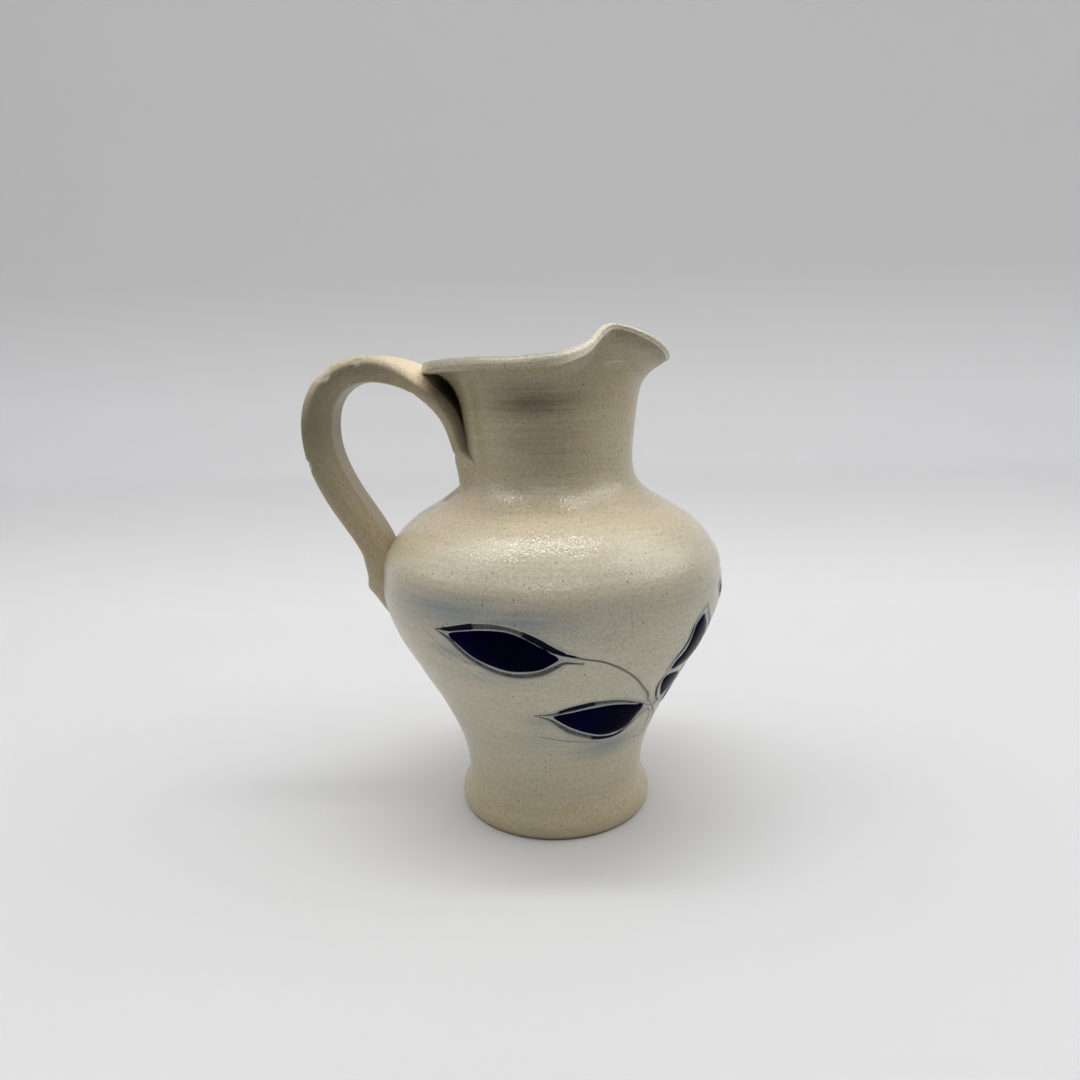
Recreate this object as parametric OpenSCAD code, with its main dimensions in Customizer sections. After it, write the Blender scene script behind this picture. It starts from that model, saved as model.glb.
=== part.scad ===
// Stoneware creamer: a wheel-thrown jug with a pulled spout, a strap handle luted to
// its neck and belly, and a sprig of cobalt slip leaves laid into carved outlines.
// The foot stands on z = 0, the spout points along +X and the handle along -X.

/* [Foot] */
// Radius of the flat face that the jug stands on
base_r = 26.7; // [22:0.1:30]
// Radius of the rounded foot ring
foot_r = 27.5; // [23:0.1:32]
// Height of the fullest part of the foot ring
foot_z = 2.6; // [1.5:0.1:5]
// Radius of the turned groove above the foot ring
groove_r = 25.2; // [20:0.1:30]
// Height of the turned groove above the foot ring's fullest part
groove_h = 7.6; // [5:0.1:12]

/* [Body] */
// Radius half way up the flaring lower wall
flare_r = 35.9; // [31:0.1:41]
// Height of that place above the groove
flare_h = 30; // [22:0.5:38]
// Slope of the lower wall there, radius over height
flare_slope = 0.57; // [0.4:0.01:0.75]
// Largest radius of the belly
belly_r = 47.3; // [44:0.1:56]
// Height of the belly above the middle of the lower wall
belly_h = 27.2; // [20:0.1:40]
// Radius where the shoulder is steepest
shoulder_r = 33.2; // [29:0.1:38]
// Height of that place above the belly
shoulder_h = 20.6; // [15:0.1:28]
// Slope of the shoulder there, radius over height
shoulder_slope = 1.75; // [1.2:0.05:2.2]

/* [Neck] */
// Radius at the root of the neck
root_r = 24.1; // [22:0.1:28]
// Height of the neck root above the steepest part of the shoulder
root_h = 7; // [5:0.1:12]
// Slope of the neck root, radius over height
root_slope = 0.45; // [0.2:0.05:0.8]
// Smallest radius of the neck
neck_r = 22.8; // [19:0.1:26]
// Height of the smallest part above the neck root
waist_h = 7; // [4:0.1:14]
// Radius of the neck where the mouth starts to flare
throat_r = 23.7; // [20:0.1:27]
// Height of the flare above the smallest part of the neck
throat_h = 10; // [6:0.1:20]
// Slope of the neck where the flare starts, radius over height
throat_slope = 0.11; // [0:0.01:0.3]

/* [Wall] */
// Thickness of the floor
floor_t = 6; // [3:0.1:9]
// Radius of the hollow's bottom corner
floor_fillet = 6; // [2:0.1:10]
// Thickness of the wall at the foot
foot_wall = 5; // [3:0.1:7]
// Thickness of the wall at the throat
throat_wall = 3.4; // [2.5:0.1:5]
// Thickness of the rounded lip
lip_t = 2.7; // [2:0.1:4]

/* [Mouth] */
// Reach of the rim on the handle side, from the axis
back_r = 34; // [29:0.1:38]
// Height of the rim there above the throat
back_h = 15.2; // [11:0.1:20]
// Lean of the lip there above the level
back_lean = 12; // [0:1:60]
// Angle from the spout to the rim's low side
side_turn = 90; // [76:1:120]
// Reach of the rim at its sides
side_r = 29.8; // [27:0.1:36]
// Height of the rim at its sides above the throat
side_h = 16.7; // [12:0.1:22]
// Lean of the lip at the sides above the level
side_lean = 40; // [10:1:80]

/* [Spout] */
// Reach of the spout's tip from the axis
tip_r = 32.7; // [29:0.1:42]
// Height of the spout's tip above the throat
tip_h = 16.8; // [12:0.1:24]
// Lean of the spout's tip above the level
tip_lean = 31; // [15:1:70]
// Thickness of the lip at the spout's tip
tip_t = 1.9; // [1.4:0.1:3]
// Angle from the spout to the pinched wing on each side
wing_turn = 46; // [34:1:60]
// Reach of the rim at the pinched wings
wing_r = 24.2; // [22:0.1:30]
// Height of the wings above the throat
wing_h = 23.7; // [18:0.1:30]
// Lean of the lip at the wings above the level
wing_lean = 86; // [60:1:100]

/* [Handle] */
// Width of the strap
strap_w = 14.6; // [10:0.1:20]
// Radius along the strap's edges
strap_edge = 2; // [1:0.1:3]
// Thickness of the strap where it is luted to the neck
join_t = 3.1; // [2.6:0.1:6]
// Thickness of the strap where it passes the rim
pass_t = 5.4; // [3:0.1:8]
// Thickness of the strap at the top of the arch
apex_t = 6.4; // [4:0.1:9]
// Thickness of the strap at its outermost bend
bend_t = 7.6; // [4:0.1:10]
// Thickness of the strap where it lands on the belly
land_t = 7; // [4:0.1:10]
// Thickness of the tail pressed onto the belly
tail_t = 4.6; // [3:0.1:7]
// Width of the tail's end
tail_w = 10; // [6:0.1:16]
// Height of the strap's upper end above the neck root
join_h = 1; // [0:0.1:4]
// Depth of the strap's upper end in the neck, from the surface to the strap's middle
join_sink = 0.7; // [0.4:0.1:2]
// Gap between the strap and the rim that it passes
rim_gap = 0.15; // [0.1:0.05:1]
// Distance of the arch's top beyond the rim
apex_out = 13.6; // [10:0.1:24]
// Drop of the strap's middle below the rim at the arch's top
apex_drop = 1.7; // [-6:0.1:2.5]
// Reach of the outermost bend beyond the belly
bend_out = 15.6; // [10:0.1:30]
// Height of the outermost bend above the neck root
bend_h = 14.5; // [8:0.1:20]
// Height above the belly where the strap lands
land_h = 8; // [4:0.1:12]
// Gap from the belly to the strap's middle where it lands
land_out = 3; // [0:0.1:4]
// Drop of the tail's end below the belly
tail_drop = 10.4; // [6:0.1:16]
// Depth of the tail's end in the belly, from the surface to the tail's middle
tail_sink = 1.6; // [0.6:0.1:2]

/* [Leaves] */
// Depth of the carved outlines, and of the slip that fills the leaves
slip_t = 0.7; // [0.4:0.05:1.2]
// Width of the carved outline round a leaf
outline_w = 1.4; // [0.6:0.1:2]
// Length that the outline runs on past a leaf's two ends
outline_tip = 3; // [1:0.1:4]
// Upper left leaf: azimuth of its stalk end, drop below the belly, then the same of its tip
upper_left_ends = [-88.3, 8.8, -122.4, 4.1]; // [-180:0.1:180]
// Upper left leaf: swell above and below the line between its ends
upper_left_swell = [4.8, 5.8]; // [1:0.1:12]
// Lower left leaf: azimuth of its stalk end, drop below the belly, then the same of its tip
lower_left_ends = [-47.8, 29.2, -90.5, 27.6]; // [-180:0.1:180]
// Lower left leaf: swell above and below the line between its ends
lower_left_swell = [2.8, 7.6]; // [1:0.1:12]
// Bud leaf at the root: azimuth of its stalk end, drop below the belly, then the same of its tip
bud_ends = [-32.5, 28.6, -33.5, 20.2]; // [-180:0.1:180]
// Bud leaf: swell on its left and right
bud_swell = [3.2, 3]; // [1:0.1:12]
// Middle leaf over the bud: azimuth of its stalk end, drop below the belly, then the same of its tip
middle_ends = [-40, 18.2, -32, 2.4]; // [-180:0.1:180]
// Middle leaf: swell on its left and right
middle_swell = [2, 8]; // [1:0.1:12]
// Upper right leaf: azimuth of its stalk end, drop below the belly, then the same of its tip
upper_right_ends = [9, 9, -23.5, -0.6]; // [-180:0.1:180]
// Upper right leaf: swell above and below the line between its ends
upper_right_swell = [4.4, 5.4]; // [1:0.1:12]
// Lower right leaf: azimuth of its stalk end, drop below the belly, then the same of its tip
lower_right_ends = [-26, 29.2, 16.5, 27.6]; // [-180:0.1:180]
// Lower right leaf: swell above and below the line between its ends
lower_right_swell = [2.8, 7.6]; // [1:0.1:12]

/* [Hidden] */
$fn = 144;

CLAY = "#b9af98";
COBALT = "#14144a";

// Heights of the key places of the thrown wall
groove_z = foot_z + groove_h;
flare_z = groove_z + flare_h;
belly_z = flare_z + belly_h;
shoulder_z = belly_z + shoulder_h;
root_z = shoulder_z + root_h;
waist_z = root_z + waist_h;
throat_z = waist_z + throat_h;

// The thrown wall's outer face: height, radius, slope, and bands up to the next place
base_slope = 0.9;
WALL = [
    [0, base_r, base_slope, 3],
    [foot_z, foot_r, 0, 5],
    [groove_z, groove_r, 0, 8],
    [flare_z, flare_r, flare_slope, 9],
    [belly_z, belly_r, 0, 9],
    [shoulder_z, shoulder_r, -shoulder_slope, 6],
    [root_z, root_r, -root_slope, 4],
    [waist_z, neck_r, 0, 3],
    [throat_z, throat_r, throat_slope, 0]
];

// Cubic curve between two places of the wall, at the share t of the way, and its slope
function span_r(a, b, t) =
    let (h = b[0] - a[0], s = 1 - t)
    a[1] * s * s * (1 + 2 * t) + b[1] * t * t * (3 - 2 * t) + h * s * t * (a[2] * s - b[2] * t);
function span_slope(a, b, t) =
    let (h = b[0] - a[0], s = 1 - t)
    6 * s * t * (b[1] - a[1]) / h + a[2] * s * (1 - 3 * t) - b[2] * t * (2 - 3 * t);
function span_at(z, i = 0) = i == len(WALL) - 2 || z < WALL[i + 1][0] ? i : span_at(z, i + 1);
function wall_share(z, i) = (z - WALL[i][0]) / (WALL[i + 1][0] - WALL[i][0]);
function wall_r(z) = let (i = span_at(z)) span_r(WALL[i], WALL[i + 1], wall_share(z, i));
function wall_slope(z) = let (i = span_at(z)) span_slope(WALL[i], WALL[i + 1], wall_share(z, i));
function wall_t(z) = foot_wall + (throat_wall - foot_wall) * z / throat_z;

// Point at a depth square to the outer face, as radius and height
function under_face(z, depth) =
    let (m = wall_slope(z), k = depth / sqrt(1 + m * m)) [wall_r(z) - k, z + k * m];

// Heights that break the outer face into bands
WALL_Z = [
    for (i = [0 : len(WALL) - 2]) for (k = [0 : WALL[i][3] - 1])
        WALL[i][0] + (WALL[i + 1][0] - WALL[i][0]) * k / WALL[i][3],
    throat_z
];
outer_face = [for (z = WALL_Z) [wall_r(z), z]];

// The hollow: a floor, a rounded corner, and the inner face up to the throat
hollow_start = floor_t + floor_fillet;
end_margin = 1;
inner_face = [
    for (z = WALL_Z) let (p = under_face(z, wall_t(z)))
        if (p[1] > hollow_start + end_margin && p[1] < throat_z - end_margin) p
];
corner_r = inner_face[0][0];
corner_steps = 5;
hollow_corner = [
    for (k = [0 : corner_steps]) let (a = 90 * k / corner_steps)
        [corner_r - floor_fillet * (1 - sin(a)), hollow_start - floor_fillet * cos(a)]
];

function reversed(list) = [for (i = [len(list) - 1 : -1 : 0]) list[i]];

wall_section = concat(
    [[0, 0]], outer_face, [[throat_r - throat_wall, throat_z]],
    reversed(inner_face), reversed(hollow_corner), [[0, floor_t]]
);
full_section = concat([[0, 0]], outer_face, [[0, throat_z]]);

// Solid skinned over sections of equally many points, closed in a ring or capped at both ends
module skin(sections, ring) {
    count = len(sections);
    sides = len(sections[0]);
    strips = ring ? count : count - 1;
    walls = [
        for (i = [0 : strips - 1]) for (j = [0 : sides - 1])
            let (k = (j + 1) % sides, a = i * sides, b = (i + 1) % count * sides)
            each [[a + j, a + k, b + k], [a + j, b + k, b + j]]
    ];
    caps = ring ? [] : [
        [for (j = [sides - 1 : -1 : 0]) j],
        [for (j = [0 : sides - 1]) (count - 1) * sides + j]
    ];
    polyhedron([for (s = sections) each s], concat(walls, caps), convexity = 8);
}

// Cubic curve with two end points and two pulls, and its direction
function bezier(p, t) =
    let (s = 1 - t) s * s * s * p[0] + 3 * s * s * t * p[1] + 3 * s * t * t * p[2] + t * t * t * p[3];
function bezier_way(p, t) =
    let (s = 1 - t, d = s * s * (p[1] - p[0]) + 2 * s * t * (p[2] - p[1]) + t * t * (p[3] - p[2]))
    d / norm(d);

function eased(a, b, t) = a + (b - a) * (1 - cos(180 * t)) / 2;

// The rim turns from the spout's tip over a wing to the side and the back:
// angle, reach, height above the throat, lean and thickness of the lip
RIM = [
    [0, tip_r, tip_h, tip_lean, tip_t],
    [wing_turn, wing_r, wing_h, wing_lean, lip_t],
    [side_turn, side_r, side_h, side_lean, lip_t],
    [180, back_r, back_h, back_lean, lip_t]
];
function rim_part(turn) = turn < wing_turn ? 0 : turn < side_turn ? 1 : 2;
function rim_share(turn, i) = (turn - RIM[i][0]) / (RIM[i + 1][0] - RIM[i][0]);
function rim_at(turn, what) =
    let (i = rim_part(turn)) eased(RIM[i][what], RIM[i + 1][what], rim_share(turn, i));

// Height of the rim over the throat: it climbs fast from the tip and levels out on the wing
tip_climb = 1.1;
function rim_h(turn) =
    turn >= wing_turn ? rim_at(turn, 2)
    : tip_h + (wing_h - tip_h) * pow(sin(90 * rim_share(turn, 0)), tip_climb);

mouth_segments = 72;
mouth_steps = 9;
lip_steps = 5;
throat_pull = 0.7;
flare_pull = 0.42;
joint_overlap = 1.2;
joint_inset = 0.2;

// Section of the mouth's wall at one angle, as radius and height, from the throat outside
// over the lip to the throat inside
function mouth_section(turn) =
    let (
        lean = rim_at(turn, 3),
        lip = rim_at(turn, 4) / 2,
        middle = [rim_at(turn, 1) - lip, throat_z + rim_h(turn) - lip],
        under = [sin(lean), -cos(lean)],
        edge = middle + lip * under,
        foot = [throat_r - joint_inset, throat_z],
        rise = edge[1] - throat_z,
        curve = [
            foot,
            foot + throat_pull * rise * [throat_slope, 1],
            edge - flare_pull * norm(edge - foot) * [cos(lean), sin(lean)],
            edge
        ],
        outside = [for (k = [0 : mouth_steps]) bezier(curve, k / mouth_steps)],
        inside = [
            for (k = [1 : mouth_steps])
                let (
                    t = k / mouth_steps,
                    way = bezier_way(curve, t),
                    thick = throat_wall + (2 * lip - throat_wall) * t
                )
                bezier(curve, t) + thick * [-way[1], way[0]]
        ],
        rounded = [
            for (k = [1 : lip_steps - 1]) let (a = lean - 90 + 180 * k / lip_steps)
                middle + lip * [cos(a), sin(a)]
        ],
        inner_r = throat_r - throat_wall + joint_inset
    )
    concat(
        [[foot[0], throat_z - joint_overlap]], outside, rounded, reversed(inside),
        [[inner_r, throat_z], [inner_r, throat_z - joint_overlap]]
    );

function turned(p, a) = [p[0] * cos(a), p[0] * sin(a), p[1]];
function short_turn(a) = a > 180 ? 360 - a : a;

module mouth() {
    skin([
        for (i = [0 : mouth_segments - 1]) let (a = 360 * i / mouth_segments)
            [for (p = mouth_section(short_turn(a))) turned(p, a)]
    ], true);
}

// The strap's middle line in the XZ plane: luted to the neck, past the rim, over the arch,
// round the outer bend, onto the belly and down to the tail's end
join_z = root_z + join_h;
join_p = [-(wall_r(join_z) - join_sink), join_z];
join_way = [-0.06, 1];

pass_way = [-0.843, 0.538];
pass_under = [-pass_way[1], pass_way[0]];
rim_p = [-(back_r - lip_t / 2), throat_z + back_h - lip_t / 2];
pass_p = rim_p + (lip_t / 2 + rim_gap + pass_t / 2) * pass_under;

apex_p = [-(back_r + apex_out), throat_z + back_h - apex_drop];
apex_way = [-1, 0];
bend_p = [-(belly_r + bend_out), root_z + bend_h];
bend_way = [0, -1];

land_z = belly_z + land_h;
land_p = [-(wall_r(land_z) + land_out), land_z];
land_way = [0.2, -0.98];
tail_z = belly_z - tail_drop;
tail_p = [-(wall_r(tail_z) - tail_sink), tail_z];
tail_way = [0.62, -0.78];

// Curve between two places, with the share of the way over which each end holds its direction
function pulled(a, way_a, pull_a, b, way_b, pull_b) =
    let (d = norm(b - a)) [a, a + pull_a * d * way_a, b - pull_b * d * way_b, b];

STRAP_P = [join_p, pass_p, apex_p, bend_p, land_p, tail_p];
STRAP_WAY = [join_way, pass_way, apex_way, bend_way, land_way, tail_way];
STRAP_PULLS = [[0.47, 0.28], [0.35, 0.35], [0.42, 0.4], [0.36, 0.27], [0.45, 0.4]];
STRAP = [
    for (i = [0 : len(STRAP_PULLS) - 1]) let (pull = STRAP_PULLS[i])
        pulled(STRAP_P[i], STRAP_WAY[i], pull[0], STRAP_P[i + 1], STRAP_WAY[i + 1], pull[1])
];
STRAP_T = [join_t, pass_t, apex_t, bend_t, land_t, tail_t];
STRAP_W = [strap_w, strap_w, strap_w, strap_w, strap_w, tail_w];
STRAP_STEPS = [8, 4, 8, 9, 7];
edge_steps = 3;
edge_share = 0.45;

// Rounded rectangle of a width and thickness, as points across and outwards: its edges are
// rounded by the strap's edge radius, or by a share of a thinner or narrower end
function strap_outline(w, t) =
    let (edge = min(strap_edge, edge_share * t, edge_share * w))
    [
        for (corner = [0 : 3]) for (k = [0 : edge_steps])
            let (
                a = 90 * corner + 90 * k / edge_steps,
                cw = (corner == 0 || corner == 3 ? 1 : -1) * (w / 2 - edge),
                ct = (corner < 2 ? 1 : -1) * (t / 2 - edge)
            )
            [cw + edge * cos(a), ct + edge * sin(a)]
    ];
function strap_section(i, t) =
    let (
        p = bezier(STRAP[i], t),
        way = bezier_way(STRAP[i], t),
        out = [way[1], -way[0]]
    )
    [
        for (q = strap_outline(eased(STRAP_W[i], STRAP_W[i + 1], t), eased(STRAP_T[i], STRAP_T[i + 1], t)))
            [p[0] + out[0] * q[1], q[0], p[1] + out[1] * q[1]]
    ];

module strap() {
    skin([
        for (i = [0 : len(STRAP) - 1]) for (k = [(i == 0 ? 0 : 1) : STRAP_STEPS[i]])
            strap_section(i, k / STRAP_STEPS[i])
    ], false);
}

// A leaf's outline seen square on: two swelling sides between its ends, which the carved
// outline outgrows by its own width
leaf_steps = 14;
leaf_fullness = 0.9;
function leaf_outline(ends, swell, grow, grow_tip) =
    let (
        turn = (ends[0] + ends[2]) / 2,
        per_degree = wall_r(belly_z - (ends[1] + ends[3]) / 2) * PI / 180,
        stalk = [(ends[0] - turn) * per_degree, belly_z - ends[1]],
        tip = [(ends[2] - turn) * per_degree, belly_z - ends[3]],
        way = (tip - stalk) / norm(tip - stalk),
        up = way[0] < 0 ? [way[1], -way[0]] : [-way[1], way[0]],
        a = stalk - grow_tip * way,
        b = tip + grow_tip * way,
        side = function (t, w) a + (b - a) * t + up * w * sin(180 * pow(t, leaf_fullness)),
        flat = concat(
            [for (k = [0 : leaf_steps]) side(k / leaf_steps, swell[0] + grow)],
            [for (k = [leaf_steps - 1 : -1 : 1]) side(k / leaf_steps, -swell[1] - grow)]
        )
    )
    [for (p = flat) [wall_r(p[1]) * sin(p[0] / per_degree), p[1]]];

// Block through the wall with a leaf's outline, square to the wall at the leaf's middle
module leaf_block(ends, swell, grow, grow_tip) {
    rotate([0, 0, (ends[0] + ends[2]) / 2])
        translate([neck_r, 0, 0])
            rotate([90, 0, 90])
                linear_extrude(belly_r) polygon(leaf_outline(ends, swell, grow, grow_tip));
}

// Layer of the wall behind the whole sprig, between two depths under the outer face
LEAVES = [
    [upper_left_ends, upper_left_swell],
    [lower_left_ends, lower_left_swell],
    [bud_ends, bud_swell],
    [middle_ends, middle_swell],
    [upper_right_ends, upper_right_swell],
    [lower_right_ends, lower_right_swell]
];
sprig_margin = 15;
sprig_turns = [for (l = LEAVES) each [l[0][0], l[0][2]]];
sprig_from = min(sprig_turns) - sprig_margin;
sprig_to = max(sprig_turns) + sprig_margin;
module wall_layer(from, to) {
    faces = [for (z = WALL_Z) if (z > groove_z && z < shoulder_z) z];
    rotate([0, 0, sprig_from])
        rotate_extrude(angle = sprig_to - sprig_from)
            polygon(concat(
                [for (z = faces) under_face(z, from)],
                reversed([for (z = faces) under_face(z, to)])
            ));
}

// Slip that fills a leaf, level with the wall
module leaf(ends, swell) {
    color(COBALT) intersection() {
        wall_layer(0, slip_t);
        leaf_block(ends, swell, 0, 0);
    }
}

// The sprig's carved ground: each leaf's place with the outline round it
module carving() {
    intersection() {
        wall_layer(-slip_t, slip_t);
        union() {
            for (l = LEAVES) leaf_block(l[0], l[1], outline_w, outline_tip);
        }
    }
}

module body() {
    color(CLAY) union() {
        difference() {
            rotate_extrude() polygon(wall_section);
            carving();
        }
        mouth();
    }
}

module handle() {
    color(CLAY) difference() {
        strap();
        rotate_extrude() polygon(full_section);
    }
}

module upper_left_leaf() { leaf(upper_left_ends, upper_left_swell); }
module lower_left_leaf() { leaf(lower_left_ends, lower_left_swell); }
module bud_leaf() { leaf(bud_ends, bud_swell); }
module middle_leaf() { leaf(middle_ends, middle_swell); }
module upper_right_leaf() { leaf(upper_right_ends, upper_right_swell); }
module lower_right_leaf() { leaf(lower_right_ends, lower_right_swell); }

body();
handle();
upper_left_leaf();
lower_left_leaf();
bud_leaf();
middle_leaf();
upper_right_leaf();
lower_right_leaf();
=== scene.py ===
import math

import bpy
import numpy as np
from mathutils import Matrix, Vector
from mathutils.geometry import delaunay_2d_cdt
from mathutils.kdtree import KDTree


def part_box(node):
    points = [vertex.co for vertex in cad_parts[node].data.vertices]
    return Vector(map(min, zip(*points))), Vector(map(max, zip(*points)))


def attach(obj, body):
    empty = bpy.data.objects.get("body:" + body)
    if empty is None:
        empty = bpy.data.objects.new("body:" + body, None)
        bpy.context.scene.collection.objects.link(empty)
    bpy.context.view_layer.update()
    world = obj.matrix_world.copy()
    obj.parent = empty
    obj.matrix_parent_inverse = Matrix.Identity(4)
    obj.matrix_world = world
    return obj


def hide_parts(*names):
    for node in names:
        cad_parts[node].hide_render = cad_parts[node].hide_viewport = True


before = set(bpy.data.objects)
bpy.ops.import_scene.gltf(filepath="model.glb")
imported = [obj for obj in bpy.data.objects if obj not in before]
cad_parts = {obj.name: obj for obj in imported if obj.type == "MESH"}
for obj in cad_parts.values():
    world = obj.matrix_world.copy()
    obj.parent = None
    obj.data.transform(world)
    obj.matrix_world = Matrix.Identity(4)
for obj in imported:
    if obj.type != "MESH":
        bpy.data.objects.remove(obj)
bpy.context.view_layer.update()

# The thrown body: one wall of grey stoneware, turned on the wheel from the foot ring over the
# belly to the neck. It is fired in a salt kiln, which leaves a thin glaze dimpled like orange peel.
MM = 0.001      # sizes of the jug are in mm, and the scene is in m
BELLY_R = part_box("body")[1].y / MM

# Places up the outer face: height, radius, and slope as radius over height
FACE = np.array([
    (0.0, 26.7, 0.9),       # edge of the flat underside
    (2.6, 27.5, 0.0),       # fullest part of the foot ring
    (10.2, 25.2, 0.0),      # turned groove over the foot
    (40.2, 35.9, 0.57),     # flaring lower wall
    (67.4, BELLY_R, 0.0),   # belly
    (88.0, 33.2, -1.75),    # steepest part of the shoulder
    (95.0, 24.1, -0.45),    # root of the neck
    (102.0, 22.8, 0.0),     # waist of the neck
    (112.0, 23.7, 0.11),    # throat, where the mouth flares
])
THROAT_Z, THROAT_R, THROAT_SLOPE = FACE[-1]


def face_at(z):
    """Radius and slope of the outer face at heights z."""
    z = np.asarray(z, float)
    i = np.clip(np.searchsorted(FACE[:, 0], z, side="right") - 1, 0, len(FACE) - 2)
    (z0, r0, m0), (z1, r1, m1) = np.moveaxis(FACE[i], -1, 0), np.moveaxis(FACE[i + 1], -1, 0)
    h = z1 - z0
    t = (z - z0) / h
    s = 1 - t
    radius = r0 * s * s * (1 + 2 * t) + r1 * t * t * (3 - 2 * t) + h * s * t * (m0 * s - m1 * t)
    slope = 6 * s * t * (r1 - r0) / h + m0 * s * (1 - 3 * t) - m1 * t * (2 - 3 * t)
    return radius, slope


def on_wall(turn, z, rise):
    """Points at azimuths in degrees and heights, raised square to the outer face."""
    radius, slope = face_at(z)
    k = rise / np.sqrt(1 + slope * slope)
    r = radius + k
    a = np.radians(turn)
    return np.stack([r * np.cos(a), r * np.sin(a), z - k * slope], axis=-1)


def ramp(low, high, x):
    """Smooth step from 0 at low to 1 at high."""
    t = np.clip((x - low) / (high - low), 0, 1)
    return t * t * (3 - 2 * t)


# Rings left by the fingers: height and rise of each ridge, and how far it fades upwards and down
RINGS = (
    (5.3, 0.38, 1.0, 2.4),      # top edge of the foot ring
    (14.0, 0.05, 2.0, 2.0),
    (22.0, -0.05, 2.2, 2.2),
    (30.5, 0.05, 2.0, 2.0),
    (36.0, -0.09, 2.2, 2.2),
    (42.0, 0.1, 2.0, 2.0),
    (46.6, -0.12, 1.4, 1.6),
    (53.0, 0.09, 2.2, 2.2),
    (61.0, -0.05, 2.4, 2.4),
    (73.3, 0.36, 4.6, 1.4),     # edge where the shoulder turns over into the belly
    (77.4, -0.07, 0.5, 0.6),    # line of the rib tool
    (85.2, 0.13, 0.9, 2.4),
    (92.2, 0.08, 1.1, 1.0),
    (99.0, -0.04, 1.5, 1.5),
    (105.0, 0.05, 1.4, 1.4),
)


def bell(x):
    """1 at 0, fading smoothly on both sides."""
    return np.exp(-(x ** 2))


def rings_at(turn, z):
    """Rise of the throwing rings, which waver a little round the wall."""
    a = np.radians(turn)
    rise = 0
    for n, (height, ridge, above, below) in enumerate(RINGS):
        waver = 0.35 * np.sin(a + 2.1 * n) + 0.2 * np.sin(3 * a + n)
        swell = 0.8 + 0.2 * np.sin(2 * a + 1.3 * n)
        off = z - height - waver
        rise = rise + ridge * swell * bell(off / np.where(off > 0, above, below))
    return rise


# The sprig is drawn into the leather-hard wall with a loop tool. Each leaf is outlined by cuts
# and the ground inside them is scraped down to take the blue slip.
# A long leaf is measured from its tip to its stalk: share of the way, and distance across in mm.
# A cut also has its half width and how full of slip it is.
UPPER_ENDS = ((-122.4, 63.3), (-88.3, 58.6))
UPPER_SIDES = (
    (0.0, 0.0), (0.2, 2.65), (0.4, 4.3), (0.55, 4.75), (0.68, 4.05), (0.8, 2.75), (0.9, 1.6), (1.0, 0.0),
    (0.96, -1.6), (0.86, -3.95), (0.72, -5.4), (0.57, -6.15), (0.41, -5.75), (0.24, -4.55), (0.1, -2.3),
)
UPPER_CUTS = (
    ((-0.14, 0.0, 0.18, 0), (0.0, 1.3, 0.65, 1), (0.2, 3.7, 0.85, 1), (0.26, 4.2, 0.8, 0),
     (0.4, 5.2, 0.7, 0), (0.55, 5.45, 0.65, 0), (0.64, 5.1, 0.7, 0), (0.69, 4.8, 0.8, 1),
     (0.8, 3.75, 0.95, 1), (0.92, 2.3, 0.9, 1), (1.03, 1.35, 0.6, 1)),
    ((-0.14, -0.1, 0.18, 0), (0.0, -1.3, 0.6, 0), (0.1, -3.3, 0.7, 0), (0.22, -5.25, 0.75, 0),
     (0.4, -6.8, 0.82, 0), (0.57, -7.25, 0.85, 0), (0.73, -6.5, 0.9, 0), (0.88, -4.75, 0.9, 0),
     (0.99, -2.4, 0.7, 0), (1.06, -1.0, 0.45, 0), (1.2, -0.75, 0.23, 0)),
)
LOWER_ENDS = ((-90.5, 39.8), (-47.8, 38.2))
LOWER_SIDES = (
    (0.0, 0.0), (0.17, 1.5), (0.345, 2.66), (0.56, 3.1), (0.8, 1.88), (1.0, 0.1), (0.965, -3.66),
    (0.9, -5.9), (0.8, -7.2), (0.6, -7.7), (0.4, -6.5), (0.22, -4.55), (0.09, -2.46),
)
LOWER_CUTS = (
    ((-0.17, 0.1, 0.18, 0), (0.0, 0.8, 0.5, 0.2), (0.09, 2.0, 0.8, 1), (0.2, 3.1, 1.0, 1),
     (0.33, 4.05, 0.95, 1), (0.42, 4.25, 0.9, 0.1), (0.6, 4.0, 0.7, 0), (0.8, 2.5, 0.45, 0.3),
     (1.0, 0.55, 0.28, 0)),
    ((-0.17, -0.1, 0.18, 0), (-0.04, -1.2, 0.55, 0), (0.08, -3.6, 0.75, 0), (0.2, -5.6, 0.85, 0),
     (0.4, -7.5, 0.75, 0.1), (0.52, -8.3, 0.7, 1), (0.7, -8.5, 0.6, 1), (0.84, -7.5, 0.55, 0.6),
     (0.96, -5.0, 0.5, 0), (1.04, -2.2, 0.33, 0)),
)
# The two right-hand leaves are the same strokes drawn the other way round the root, and the cuts
# of the upper one were left without slip
BARE_UPPER_CUTS = [np.array(rows) * (1, 1, 1, 0) for rows in UPPER_CUTS]
UPPER_RIGHT_ENDS = ((-18.0, 67.2), (10.5, 58.4))
LOWER_RIGHT_ENDS = ((16.5, 39.8), (-26.0, 38.2))
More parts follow.
